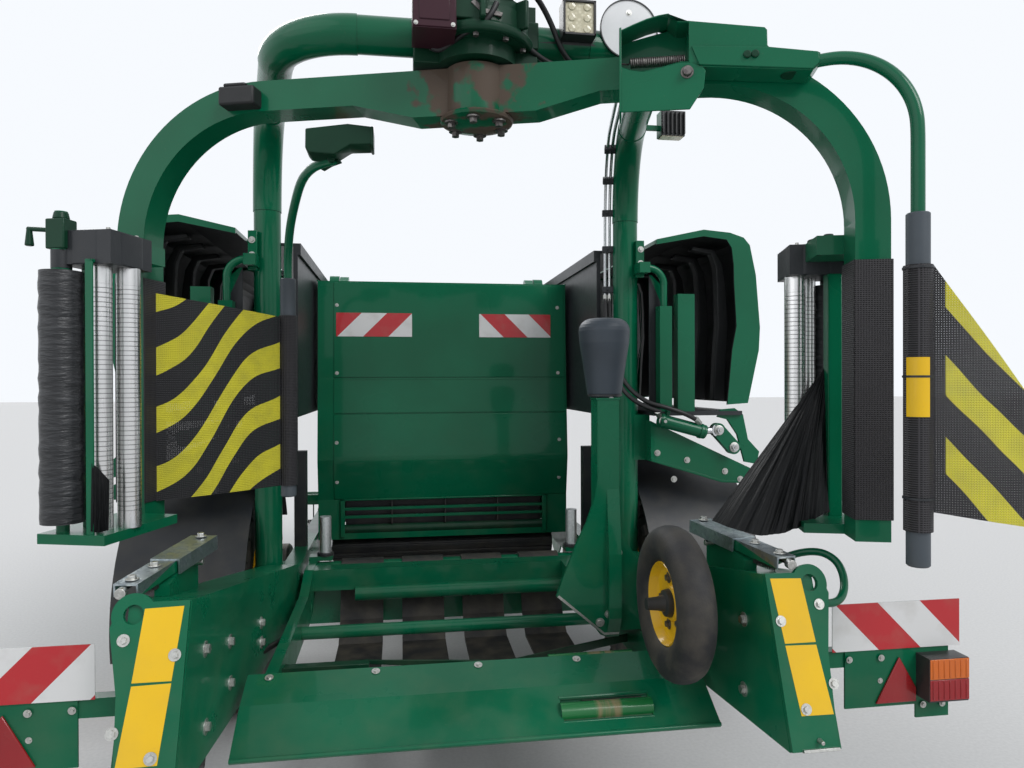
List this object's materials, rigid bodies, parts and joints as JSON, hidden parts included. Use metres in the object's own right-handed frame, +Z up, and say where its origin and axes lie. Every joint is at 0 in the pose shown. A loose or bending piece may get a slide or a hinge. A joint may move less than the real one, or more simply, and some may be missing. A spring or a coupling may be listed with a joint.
{
  "type": "towed round baler with bale wrapper",
  "caption": "Towed round baler with a bale wrapper behind it: chamber with tailgate, pickup, film stores, wrapping table, arch and turning film arms",
  "frame": {"origin": "middle of the bounding box at ground level", "axes": "X right, Y direction of travel, Z up"},
  "size_m": [2.998, 7.3005, 3.029],
  "materials": {
    "green_paint": "glossy enamel",
    "yellow_paint": "glossy enamel",
    "black_plastic": "moulded, satin",
    "black_steel": "satin paint",
    "zinc_steel": "galvanised",
    "tyre_rubber": "matt",
    "belt_rubber": "matt",
    "roller_rubber": "satin",
    "film_black": "stretch film",
    "curtain_mesh": "coated mesh",
    "board_white": "reflective sheet"
  },
  "bodies": {
    "root": {"chassis": "green_paint", "drawbar": "green_paint", "parking_jack": "green_paint", "axle": "black_steel", "mudguard_left": "black_plastic", "mudguard_right": "black_plastic", "chamber": "green_paint", "front_hood": "green_paint", "drive_gearbox": "black_steel", "film_store_left": "black_plastic", "film_store_right": "black_plastic", "wrapper_arch": "green_paint", "rotor_drive": "green_paint", "side_beam_left": "green_paint", "side_beam_right": "green_paint", "film_cutter_left": "zinc_steel", "film_cutter_right": "zinc_steel", "marking_board_left": "board_white", "marking_board_right": "board_white"},
    "wheel_left": {"tyre_left": "tyre_rubber", "rim_left": "yellow_paint"},
    "wheel_right": {"tyre_right": "tyre_rubber", "rim_right": "yellow_paint"},
    "tailgate": {"tailgate": "green_paint"},
    "pickup": {"pickup_frame": "green_paint"},
    "reel": {"pickup_reel": "black_steel"},
    "gauge_wheel_left": {"gauge_wheel_left": "tyre_rubber"},
    "gauge_wheel_right": {"gauge_wheel_right": "tyre_rubber"},
    "store_cover_left": {"store_cover_left": "green_paint"},
    "store_cover_right": {"store_cover_right": "green_paint"},
    "side_door_left": {"side_door_left": "green_paint"},
    "side_door_right": {"side_door_right": "green_paint"},
    "rotor": {"rotor_beam": "green_paint", "film_unit_left": "green_paint", "film_unit_right": "green_paint", "film_roll_left": "film_black", "film_roll_right": "film_black", "safety_arm_left": "black_steel", "safety_arm_right": "black_steel", "curtain_left": "curtain_mesh", "curtain_right": "curtain_mesh", "slack_net_right": "curtain_mesh"},
    "table": {"table_frame": "green_paint", "table_belts": "belt_rubber", "tipper_post": "green_paint"},
    "tipper_roller": {"tipper_roller": "roller_rubber"},
    "tipper_wheel": {"tipper_wheel": "tyre_rubber"}
  },
  "joints": [
    {"name": "wheel_left_spin", "type": "hinge", "parent": "root", "child": "wheel_left", "pos_m": [-1.18, -1.42, 0.585], "axis": [1, 0, 0], "continuous": true},
    {"name": "wheel_right_spin", "type": "hinge", "parent": "root", "child": "wheel_right", "pos_m": [1.18, -1.42, 0.585], "axis": [1, 0, 0], "continuous": true},
    {"name": "tailgate_lift", "type": "hinge", "parent": "root", "child": "tailgate", "pos_m": [0, -0.4, 2.29], "axis": [-1, 0, 0], "range_deg": [0, 65]},
    {"name": "pickup_lift", "type": "hinge", "parent": "root", "child": "pickup", "pos_m": [0, 0.35, 0.76], "axis": [1, 0, 0], "range_deg": [0, 18]},
    {"name": "reel_spin", "type": "hinge", "parent": "pickup", "child": "reel", "pos_m": [0, 0.64, 0.43], "axis": [1, 0, 0], "continuous": true},
    {"name": "gauge_left_spin", "type": "hinge", "parent": "pickup", "child": "gauge_wheel_left", "pos_m": [-1.1, 0.58, 0.19], "axis": [1, 0, 0], "continuous": true},
    {"name": "gauge_right_spin", "type": "hinge", "parent": "pickup", "child": "gauge_wheel_right", "pos_m": [1.1, 0.58, 0.19], "axis": [1, 0, 0], "continuous": true},
    {"name": "store_cover_left_lift", "type": "hinge", "parent": "root", "child": "store_cover_left", "pos_m": [-0.94, -1.27, 2.306], "axis": [0, 1, 0], "range_deg": [0, 60]},
    {"name": "store_cover_right_lift", "type": "hinge", "parent": "root", "child": "store_cover_right", "pos_m": [0.94, -1.27, 2.306], "axis": [0, -1, 0], "range_deg": [0, 60]},
    {"name": "side_door_left_lift", "type": "hinge", "parent": "root", "child": "side_door_left", "pos_m": [-0.94, 0.15, 2.306], "axis": [0, 1, 0], "range_deg": [0, 60]},
    {"name": "side_door_right_lift", "type": "hinge", "parent": "root", "child": "side_door_right", "pos_m": [0.94, 0.15, 2.306], "axis": [0, -1, 0], "range_deg": [0, 60]},
    {"name": "rotor_turn", "type": "hinge", "parent": "root", "child": "rotor", "pos_m": [0, -2.95, 2.6], "axis": [0, 0, 1], "continuous": true, "deforming": ["slack_net_right"]},
    {"name": "table_tilt", "type": "hinge", "parent": "root", "child": "table", "pos_m": [0, -1.95, 0.645], "axis": [1, 0, 0], "range_deg": [0, 20]},
    {"name": "tipper_roller_spin", "type": "hinge", "parent": "table", "child": "tipper_roller", "pos_m": [0.526, -2.6, 1.7], "axis": [0, 0, 1], "continuous": true},
    {"name": "tipper_wheel_spin", "type": "hinge", "parent": "table", "child": "tipper_wheel", "pos_m": [0.58, -3.17, 0.962], "axis": [1, 0, 0], "continuous": true}
  ]
}
